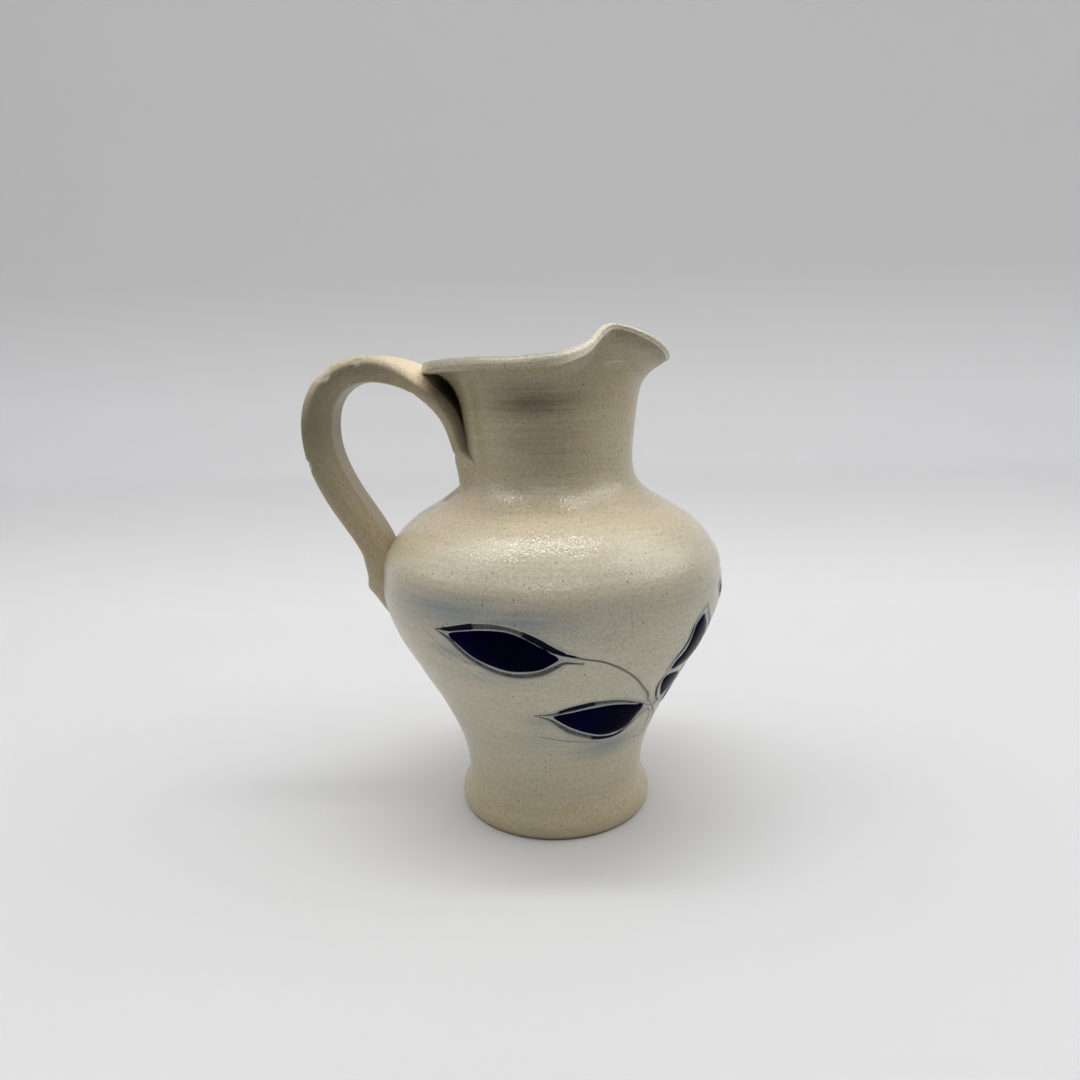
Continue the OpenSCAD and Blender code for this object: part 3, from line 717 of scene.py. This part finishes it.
def weathered(tree, skin, colour):
    """A clay colour with its clouds, tool lines and grain."""
    marks = (
        (scaled(tree, skin.outputs["Clouds"], 0.35, 0.65), WARM_CLOUD),
        (scaled(tree, skin.outputs["Lines"], 0.4, 0.7, 0, 0.3), TOOL_LINE),
        (scaled(tree, skin.outputs["Grain"], 0.42, 0.68, 0, 0.8), DARK_GRAIN),
    )
    for share, tint in marks:
        colour = mix(tree, share, colour, tint, "MULTIPLY")
    return colour


def specked(tree, skin, colour):
    """A clay colour with its iron specks."""
    return mix(tree, times(tree, skin.outputs["Specks"], SPECK_SHOWS), colour, IRON_SPECK)


# Tones of the clay up the wall, from the dry foot to the smoked rim, partly the clay's own colour and
# partly painted light and shade: painted light on the lower wall and shoulder, painted shade below the
# shoulder's edge and on the neck: height and colour
TONES = (
    (0.0, (0.2, 0.15, 0.09)), (0.5, (0.26, 0.2, 0.12)), (1.3, (0.53, 0.45, 0.285)),
    (6.0, (0.6, 0.52, 0.35)), (12.0, (0.58, 0.53, 0.37)), (25.0, (0.6, 0.57, 0.428)),
    (45.0, (0.6, 0.567, 0.434)), (60.0, (0.565, 0.536, 0.412)), (70.0, (0.5, 0.472, 0.366)),
    (77.0, (0.68, 0.627, 0.475)), (88.0, (0.78, 0.682, 0.492)), (95.0, (0.61, 0.54, 0.383)),
    (104.0, (0.535, 0.473, 0.322)), (118.0, (0.465, 0.405, 0.255)), (124.0, (0.37, 0.328, 0.222)),
    (136.0, (0.355, 0.319, 0.223)),
)
# How strongly the salt dimpled the glaze, by height
SALT = ((0.0, 0.3), (64.0, 0.4), (74.0, 1.0), (95.0, 1.0), (99.0, 0.5), (136.0, 0.5))
SHADE_AND_CLOUD_TINT = (0.1, 0.06, 0.01)              # multiplies the clay under the painted shade and the darker clouds
BARE_LIP = ((0.9, 0.84, 0.67), (0.62, 0.56, 0.42))
WASH_AND_SHADE_COLOUR = (0.23, 0.265, 0.28)            # clay under thin slip, and under the painted shade below the shoulder's edge
GRIT = ((0.11, 0.11, 0.095), (0.03, 0.031, 0.027))
STEM = (0.15, 0.12, 0.075)
SCRAPED_EDGE = (0.57, 0.55, 0.49)
LEAF_EDGE = (0.4, 0.4, 0.46)
COBALT = (0.0008, 0.0007, 0.012)
WHEEL_LINES = (45, 45, 1300)            # scale of the wheel's lines, stretched round the wall

clay, tree, shader, skin, place = salt_glazed("Salt-glazed stoneware")
up_wall = times(tree, add(tree, "ShaderNodeSeparateXYZ", {0: place}).outputs["Z"], 1 / MM)
colour = weathered(tree, skin, toned(tree, up_wall, TONES))
round_lines = add(tree, "ShaderNodeVectorMath", {0: place, 1: WHEEL_LINES}, operation="MULTIPLY")
tree.links.new(round_lines.outputs[0], skin.inputs["Drawn"])
body_masks = {
    "groove": groove, "stem": stem, "edge": edge, "ridge": ridge, "cobalt": cobalt, "halo": halo,
    "lip": 0 * groove, "shade_and_clouds": 0 * groove,
}
grid_masks = {"halo": grid_halo, "lip": grid_lip, "shade_and_clouds": grid_shade_and_clouds}
masks = {key: add(tree, "ShaderNodeAttribute", attribute_name=key).outputs["Fac"] for key in body_masks}
streaks = scaled(tree, skin.outputs["Lines"], 0.3, 0.7, 0.7, 1.0)
# Painted shade in the slit and under the lip, and the darker clouds on the neck
colour = mix(tree, times(tree, masks["shade_and_clouds"], streaks), colour, SHADE_AND_CLOUD_TINT, "MULTIPLY")
bare = mix(tree, scaled(tree, skin.outputs["Grain"], 0.46, 0.62), *BARE_LIP)
colour = mix(tree, masks["lip"], colour, bare)
# Thin slip, and painted shade below the shoulder's edge
wash_and_shade = times(tree, masks["halo"], scaled(tree, skin.outputs["Clouds"], 0.3, 0.7, 0.75, 1.0))
colour = mix(tree, times(tree, wash_and_shade, streaks), colour, WASH_AND_SHADE_COLOUR)
grit = mix(tree, scaled(tree, skin.outputs["Grain"], 0.42, 0.6), *GRIT)
colour = mix(tree, masks["groove"], colour, grit)
colour = mix(tree, masks["stem"], colour, STEM)
colour = mix(tree, times(tree, masks["edge"], 0.75), colour, SCRAPED_EDGE)
colour = mix(tree, times(tree, masks["ridge"], 0.9), colour, LEAF_EDGE)
colour = mix(tree, masks["cobalt"], colour, COBALT)
tree.links.new(specked(tree, skin, colour), shader.inputs["Base Color"])
salt = toned(tree, up_wall, [(height, (salted,) * 3) for height, salted in SALT])
gloss = scaled(tree, salt, 0.3, 1, 0.3, 0.08)
gloss = scaled(tree, masks["shade_and_clouds"], 0.7, 1, gloss, 0.8)
gloss = scaled(tree, masks["groove"], 0, 1, gloss, 0.6)
tree.links.new(scaled(tree, masks["cobalt"], 0, 1, gloss, 0.16), shader.inputs["Roughness"])
shader.inputs["IOR"].default_value = 1.6
tree.links.new(scaled(tree, masks["cobalt"], 0, 1, 0.5, 0.04), shader.inputs["Specular IOR Level"])
tool_lines = times(tree, skin.outputs["Lines"], 0.4)
relief = {0: skin.outputs["Peel"], 1: salt, 2: tool_lines}
relief = add(tree, "ShaderNodeMath", relief, operation="MULTIPLY_ADD")
bumped(tree, shader, relief.outputs[0], 1.0, 0.07)

body_points = np.concatenate([rows, window_points])
body_faces = grid_faces + [tuple(v + len(rows) for v in f) for f in window_faces]
blank = np.zeros(len(rows))
body_masks = {key: np.concatenate([grid_masks.get(key, blank).reshape(-1), values])
              for key, values in body_masks.items()}
add_piece("body_thrown", body_points, body_faces, body_masks, clay, "body")

# The six leaves: cobalt slip trailed into the scraped ground, where it dries a little crowned
# and melts in the fire to a dark blue glass.
CROWN = 0.42
CROWN_RUN = 1.1                 # how far from the edge the crown rises
EDGE_SINK = 0.14
SLIP_T = 0.5
SLIP_LINES = (0.2, 0.5, 1.0)    # lines of the mesh along the edge
SLIP_GRID = (1.0, 0.8)          # steps of the mesh between them: degrees, and mm of height
EDGE_GAP = 0.15
THIN_COBALT = (0.0003, 0.0002, 0.006)
POOLED_COBALT = (0.0006, 0.0003, 0.024)

cobalt_glass, tree, shader, skin, place = salt_glazed("Cobalt slip")
pooled = scaled(tree, skin.outputs["Clouds"], 0.35, 0.7)
tree.links.new(mix(tree, pooled, THIN_COBALT, POOLED_COBALT), shader.inputs["Base Color"])
shader.inputs["Roughness"].default_value = 0.18
shader.inputs["Specular IOR Level"].default_value = 0.007
bumped(tree, shader, skin.outputs["Peel"], 0.25, 0.1)

for name, loop in loops.items():
    ring = loop[:-1, :2]
    after = np.roll(ring, -1, axis=0)
    area = np.sum(ring[:, 0] * after[:, 1] - after[:, 0] * ring[:, 1])
    inward = 1 if area > 0 else -1
    ties = [(k, (k + 1) % len(ring)) for k in range(len(ring))]
    (x0, y0), (x1, y1) = ring.min(axis=0), ring.max(axis=0)
    grid = np.meshgrid(np.arange(x0, x1, SLIP_GRID[0]), np.arange(y0, y1, SLIP_GRID[1]), indexing="ij")
    inner = [beside(loop, inward * gap, ring=True)[:-1] for gap in SLIP_LINES]
    inner = np.concatenate(inner + [np.stack(grid, -1).reshape(-1, 2)])
    gap = nearest(loop, *inner.T)[0]
    inner = inner[within(loop, *inner.T) & (gap > EDGE_GAP)]
    flat, faces = flat_mesh(np.concatenate([ring, inner]), ties, 1)
    gap = nearest(loop, *flat.T)[0]
    gap[:len(ring)] = 0
    top = on_wall(*flat.T, CROWN * (1 - np.exp(-gap / CROWN_RUN)) - EDGE_SINK)
    under = on_wall(*flat.T, -EDGE_SINK - SLIP_T * ramp(0, 0.4, gap))
    faces += [tuple(v + len(top) for v in reversed(f)) for f in faces]
    add_piece(name + "_slip", np.concatenate([top, under]), faces, {}, cobalt_glass, name)

# The handle: a strap pulled from soft clay, luted to the neck under the rim, bent over and
# pressed onto the belly with the thumb.
# Places along the strap's middle line: radius from the axis, height, way outwards and up, then
# thickness and width there
STRAP_W = 14.6
STRAP_EDGE = 2.0
STRAP = (
    ((23.0, 89.5), (0.03, 1.0), 3.1, STRAP_W),
    ((22.74, 97.0), (0.205, 0.979), 4.64, STRAP_W),
    ((34.12, 121.75), (0.735, 0.679), 5.1, STRAP_W),
    ((47.6, 125.85), (1.0, 0.0), 7.1, STRAP_W),
    ((62.77, 109.5), (0.0, -1.0), 8.0, STRAP_W),
    ((57.03, 91.0), (-0.486, -0.874), 8.0, STRAP_W),
    ((48.34, 75.4), (-0.164, -0.986), 7.9, STRAP_W),
    ((42.92, 57.0), (-0.62, -0.78), 4.6, 10.0),
)
PULLS = ((0.33, 0.33), (0.42, 0.42), (0.2, 0.42), (0.4, 0.47), (0.31, 0.43), (0.21, 0.2), (0.47, 0.5))
STEPS = 40
CORNER_STEPS = 10
FLAT_STEPS = 7
LUTED_W = 26.0              # spread of the luted end over the neck
LUTED_Z = (99.0, 104.5)     # heights between which the strap leaves the neck
BURIED = 2.0                # depth of its hidden face in the neck
SMEAR_SINK = 0.12           # depth of the smear's thin edge
TWIST = 13.0                # lean of the strap where it passes the rim, in degrees
KNEE = 0.9                  # swelling over the thumb print at the lower end
KNEE_Z = 66.5
KNEE_SPREAD = 1.8
BEVEL = (1.6, 2.2)          # what the thumb took off the near inner edge, across and through
# Chips in the near edge: place, reach and depth
CHIPS = (
    ((-59.8, -6.9, 125.0), 2.8, 0.25),
    ((-50.2, -7.1, 127.6), 1.1, 0.35),
    ((-65.8, -6.4, 100.3), 1.8, 0.4),
)
# Which points of a section face the hole under the handle: the far half of the ring of points
SIDE = CORNER_STEPS + FLAT_STEPS
HOLE_SIDE = np.zeros(4 * SIDE)
HOLE_SIDE[2 * SIDE - FLAT_STEPS:2 * SIDE] = np.linspace(0, 1, FLAT_STEPS + 2)[1:-1]
HOLE_SIDE[2 * SIDE:4 * SIDE - FLAT_STEPS] = 1
HOLE_SIDE[4 * SIDE - FLAT_STEPS:] = np.linspace(1, 0, FLAT_STEPS + 2)[1:-1]


def strap_section(p, way, thick, wide, place):
    """Points round the strap at a place, counted in rows of STRAP, and its middle there."""
    out = np.array([-way[1], way[0]])
    knee = KNEE * bell((p[1] - KNEE_Z) / KNEE_SPREAD) if place > 4 else 0.0
    p = p + out * knee / 2
    thick += knee
    plain = min(STRAP_EDGE, 0.45 * thick, 0.45 * wide)
    thumbed = ramp(2.5, 3.2, place) * (1 - ramp(6.2, 6.9, place))
    bevel = (plain + BEVEL[0] * thumbed, plain + BEVEL[1] * thumbed)
    arcs = []
    corners = ((1, 1, (plain, plain)), (-1, 1, (plain, plain)), (-1, -1, bevel), (1, -1, (plain, plain)))
    for cw, ct, (rw, rt) in corners:
        a = np.radians(np.linspace(0, 90, CORNER_STEPS))
        a = a if cw == ct else a[::-1]
        arc = [cw * (wide / 2 - rw + rw * np.cos(a)), ct * (thick / 2 - rt + rt * np.sin(a))]
        arcs.append(np.stack(arc, -1))
    ring = []
    for arc, after in zip(arcs, arcs[1:] + arcs[:1]):
        share = np.linspace(0, 1, FLAT_STEPS + 2)[1:-1, None]
        ring += [arc, arc[-1] + (after[0] - arc[-1]) * share]
    ring = np.concatenate(ring)
    luted = 1 - ramp(*LUTED_Z, p[1]) if place < 2 else 0.0
    lean = math.tan(math.radians(TWIST)) * (1 - luted) * (1 - ramp(1.8, 3.1, place))
    pivot = 1 - ramp(1.5, 2.3, place)
    across = ring[:, 0] / wide
    ring[:, 1] += lean * (ring[:, 0] + pivot * wide / 2)
    pulled = np.stack([-(p[0] + out[0] * ring[:, 1]), ring[:, 0], p[1] + out[1] * ring[:, 1]], -1)
    neck = np.sqrt(np.maximum(face_at(p[1])[0] ** 2 - (across * LUTED_W) ** 2, 0))
    stand = np.maximum(p[0] + thick / 2 - neck, 0.3) * ramp(88.5, 91.5, p[1])
    smear = stand * (1 - ramp(0.22, 0.5, np.abs(across))) - SMEAR_SINK
    buried = -BURIED + (smear + BURIED) * HOLE_SIDE
    pressed = np.stack([-(neck + buried), across * LUTED_W, np.full(len(ring), p[1])], -1)
    return pulled + (pressed - pulled) * luted, (-p[0], 0, p[1])


sections = []
centres = []
for i, (pull_a, pull_b) in enumerate(PULLS):
    (pa, wa, ta, ba), (pb, wb, tb, bb) = STRAP[i], STRAP[i + 1]
    pa, wa, pb, wb = (np.array(v) for v in (pa, wa, pb, wb))
    span = np.linalg.norm(pb - pa)
    t = np.linspace(0, 1, STEPS + 1)[(1 if i else 0):]
    middle, way = bezier([pa, pa + pull_a * span * wa, pb - pull_b * span * wb, pb], t)
    ease = (1 - np.cos(np.pi * t)) / 2
    for row in zip(middle, way, ta + (tb - ta) * ease, ba + (bb - ba) * ease, i + t):
        section, centre = strap_section(*row)
        sections.append(section)
        centres.append(centre)
sections = np.array(sections)
inward = np.array(centres)[:, None] - sections
inward /= np.linalg.norm(inward, axis=-1, keepdims=True)
chip = np.zeros(sections.shape[:2])
rough = np.random.default_rng(3).uniform(0.6, 1.3, sections.shape[:2])
for at, reach, depth in CHIPS:
    near = 1 - ramp(0.75, 1.0, np.linalg.norm(sections - at, axis=-1) / reach)
    sections = sections + (depth * near * rough)[..., None] * inward
    chip = np.maximum(chip, near)
count, sides = sections.shape[:2]
along = np.concatenate([[0], np.cumsum(np.linalg.norm(np.diff(centres, axis=0), axis=1))])
across = np.linalg.norm(np.diff(sections, axis=1), axis=-1)
across = np.concatenate([np.zeros((count, 1)), np.cumsum(across, axis=1)], axis=1)

# Where the strap's tones change, in mm from its luted end: it comes out of the painted shade of the slit
# beside the rim, its inner face gets painted light after the bend, and its outer face painted light up to the
# top
GLOOM_FROM = (7.0, 13.0)
SLIT_END = (30.0, 38.0)
BEND = (36.0, 60.0)
TOP_END = (60.0, 76.0)
GLOOM = 0.62
EDGE_POINT = CORNER_STEPS - SIDE    # the near outer edge, counted from the near inner one
on_ring = np.arange(sides) - 2 * SIDE
inner = ramp(0, 0.7 * CORNER_STEPS, on_ring) * (1 - ramp(2 * SIDE - FLAT_STEPS, 2 * SIDE, on_ring))
crest = 1 - ramp(EDGE_POINT - 3, EDGE_POINT + 2, on_ring)
bent = ramp(*BEND, along)[:, None]
out_of_slit = ramp(*SLIT_END, along)[:, None]
on_top = out_of_slit * (1 - ramp(*TOP_END, along)[:, None])
# Painted shade in the slit beside the neck, fading out as the strap comes out of it
gloom = GLOOM * (1 - ramp(EDGE_POINT - 5, 2, on_ring)) * ramp(*GLOOM_FROM, along)[:, None]
slit_shade = np.maximum(1 - ramp(-SIDE - 2, EDGE_POINT - 3, on_ring), gloom) * (1 - out_of_slit)
strap_masks = {
    "across": across, "along": np.broadcast_to(along[:, None], across.shape), "chip": chip,
    "inner": inner * bent, "crest": crest * on_top, "slit_shade": slit_shade}
strap_masks = {key: np.array(values).reshape(-1) for key, values in strap_masks.items()}

# Tones along the strap in mm from its luted end, partly the clay's own colour and partly painted light and
# shade
STRAP_TONES = (
    (0.0, (0.6, 0.53, 0.385)), (9.0, (0.57, 0.5, 0.355)), (16.0, (0.52, 0.45, 0.31)),
    (28.0, (0.54, 0.465, 0.31)), (50.0, (0.265, 0.23, 0.153)), (74.0, (0.24, 0.21, 0.135)),
    (95.0, (0.42, 0.36, 0.232)), (111.0, (0.47, 0.39, 0.25)), (121.0, (0.56, 0.49, 0.33)),
    (131.0, (0.63, 0.55, 0.385)),
)
# Painted light that multiplies them on the inner face and the outer face, and painted shade in the slit
INNER_FACE_LIGHT = (1.5, 1.5, 1.58)
OUTER_FACE_LIGHT = (2.6, 2.6, 2.75)
SLIT_SHADE_TINT = (0.1, 0.09, 0.08)
FRESH_CHIP = (0.72, 0.67, 0.56)
strap_clay, tree, shader, skin, place = salt_glazed("Salt-glazed strap")
masks = {key: add(tree, "ShaderNodeAttribute", attribute_name=key).outputs["Fac"] for key in strap_masks}
pulled_lines = {0: times(tree, masks["across"], 1.3), 1: times(tree, masks["along"], 0.05)}
drawn = add(tree, "ShaderNodeCombineXYZ", pulled_lines)
tree.links.new(drawn.outputs[0], skin.inputs["Drawn"])
colour = weathered(tree, skin, toned(tree, masks["along"], STRAP_TONES))
for key, tint in (("inner", INNER_FACE_LIGHT), ("crest", OUTER_FACE_LIGHT), ("slit_shade", SLIT_SHADE_TINT)):
    colour = mix(tree, masks[key], colour, tint, "MULTIPLY")
broken = times(tree, masks["chip"], scaled(tree, skin.outputs["Grain"], 0.4, 0.55))
colour = mix(tree, broken, colour, FRESH_CHIP)
tree.links.new(specked(tree, skin, colour), shader.inputs["Base Color"])
tree.links.new(scaled(tree, masks["slit_shade"], 0, 1, 0.38, 0.9), shader.inputs["Roughness"])
relief = add(tree, "ShaderNodeMath", {0: skin.outputs["Peel"], 1: skin.outputs["Lines"]}, operation="ADD")
bumped(tree, shader, relief.outputs[0], 0.8, 0.1)
strap_points = sections.reshape(-1, 3)
strap_faces = faces_round(count, sides)
add_piece("handle_strap", strap_points, strap_faces, strap_masks, strap_clay, "handle")

# The table: a plain sheet of pale paper, laid flat in front and bent up behind the jug into a
# backdrop, so that no edge shows. All its sizes are in m.
SHEET_FRONT = -1.4
SHEET_TOP = 1.6
SHEET_SIDE = 1.8
BEND_Y = 0.19
BEND_R = 0.06
BEND_STEPS = 17
# Tones up the sheet, painted light and shade, brightest low on the backdrop: height and colour
SHEET_TONES = (
    (0.0, (0.81, 0.81, 0.815)), (0.036, (0.83, 0.83, 0.84)), (0.07, (0.9, 0.9, 0.915)),
    (0.107, (0.86, 0.86, 0.875)), (0.175, (0.65, 0.65, 0.66)), (0.34, (0.53, 0.53, 0.535)),
)
sheet = [(SHEET_FRONT, 0.0)]
for a in np.linspace(0, math.pi / 2, BEND_STEPS):
    sheet.append((BEND_Y + BEND_R * math.sin(a), BEND_R * (1 - math.cos(a))))
sheet.append((BEND_Y + BEND_R, SHEET_TOP))
points = [(x, y, h) for y, h in sheet for x in (-SHEET_SIDE, SHEET_SIDE)]
mesh = bpy.data.meshes.new("sheet")
mesh.from_pydata(points, [], [(2 * k, 2 * k + 1, 2 * k + 3, 2 * k + 2) for k in range(len(sheet) - 1)])
mesh.polygons.foreach_set("use_smooth", [True] * len(mesh.polygons))
paper = bpy.data.materials.new("Paper sheet")
paper.use_nodes = True
tree = paper.node_tree
shader = tree.nodes["Principled BSDF"]
place = add(tree, "ShaderNodeTexCoord").outputs["Object"]
up_sheet = add(tree, "ShaderNodeSeparateXYZ", {0: place}).outputs["Z"]
tree.links.new(toned(tree, up_sheet, SHEET_TONES), shader.inputs["Base Color"])
shader.inputs["Roughness"].default_value = 0.7
mesh.materials.append(paper)
floor = bpy.data.objects.new("sheet", mesh)
bpy.context.scene.collection.objects.link(floor)

# The lights: soft panels and tubes over the jug, in front of it and at both sides, in a dim room.
# Each has its size, its power in W, its place and where it faces.
LIGHTS = {
    "top_panel": ((1.2, 0.7), 2.17, (0.0, -0.02, 0.75), (0.0, -0.02, 0.0)),
    "top_tube": ((0.62, 0.07), 1.3, (-0.07, -0.02, 0.74), (-0.07, -0.02, 0.0)),
    "front_panel": ((1.2, 0.3), 0.2, (0.0, -0.34, 0.75), (0.0, -0.34, 0.0)),
    "front_tube": ((0.62, 0.05), 0.4, (-0.04, -0.53, 0.58), (-0.04, 0.0, 0.08)),
    "left_panel": ((0.5, 0.8), 1.25, (-0.55, 0.1, 0.55), (0.0, 0.0, 0.08)),
    "right_panel": ((0.5, 0.8), 2.15, (0.55, 0.1, 0.55), (0.0, 0.0, 0.08)),
}
ROOM_LIGHT = (0.135, 0.135, 0.135)
ROOM_SEEN = (0.27, 0.27, 0.273)     # what the glaze and the camera see of the room
for name, (size, power, at, look) in LIGHTS.items():
    lamp = bpy.data.lights.new(name, "AREA")
    lamp.shape = "RECTANGLE"
    lamp.size, lamp.size_y = size
    lamp.energy = power
    light = bpy.data.objects.new(name, lamp)
    bpy.context.scene.collection.objects.link(light)
    way = np.array(look) - np.array(at)
    z = -way / np.linalg.norm(way)
    x = np.cross((0, 1, 0), z)
    x /= np.linalg.norm(x)
    y = np.cross(z, x)
    light.matrix_world = Matrix.Translation(at) @ Matrix(np.stack([x, y, z], -1).tolist()).to_4x4()
world = bpy.data.worlds.new("room")
world.use_nodes = True
tree = world.node_tree
rays = add(tree, "ShaderNodeLightPath").outputs
seen = rays["Is Camera Ray"]
for kind in ("Is Glossy Ray", "Is Transmission Ray"):
    seen = add(tree, "ShaderNodeMath", {0: seen, 1: rays[kind]}, operation="MAXIMUM").outputs[0]
room = mix(tree, seen, ROOM_LIGHT, ROOM_SEEN)
tree.links.new(room, tree.nodes["Background"].inputs["Color"])
bpy.context.scene.world = world
bpy.context.scene.view_settings.view_transform = "Standard"

# The camera: it stands close in front of the jug, about as high as the rim, and looks down at
# the belly. Its lens, place and turns are fitted to the jug's outline in the photograph.
PHOTO_PX = 1080
FOCAL_PX = 812
CAMERA_AT = (0, -0.225, 0.12516)
CAMERA_TURNS = (-0.80, 11.97, -1.227)   # to the side, down and about the lens, in degrees
yaw, pitch, roll = np.radians(CAMERA_TURNS)
forward = np.array([math.sin(yaw) * math.cos(pitch), math.cos(yaw) * math.cos(pitch), -math.sin(pitch)])
right = np.array([math.cos(yaw), -math.sin(yaw), 0])
up = np.cross(right, forward)
right, up = math.cos(roll) * right + math.sin(roll) * up, math.cos(roll) * up - math.sin(roll) * right
lens = bpy.data.cameras.new("camera")
lens.sensor_width = 36
lens.lens = FOCAL_PX / PHOTO_PX * lens.sensor_width
lens.clip_start = 0.01
camera = bpy.data.objects.new("camera", lens)
bpy.context.scene.collection.objects.link(camera)
axes = Matrix(np.stack([right, up, -forward], -1).tolist()).to_4x4()
camera.matrix_world = Matrix.Translation(CAMERA_AT) @ axes
bpy.context.scene.camera = camera
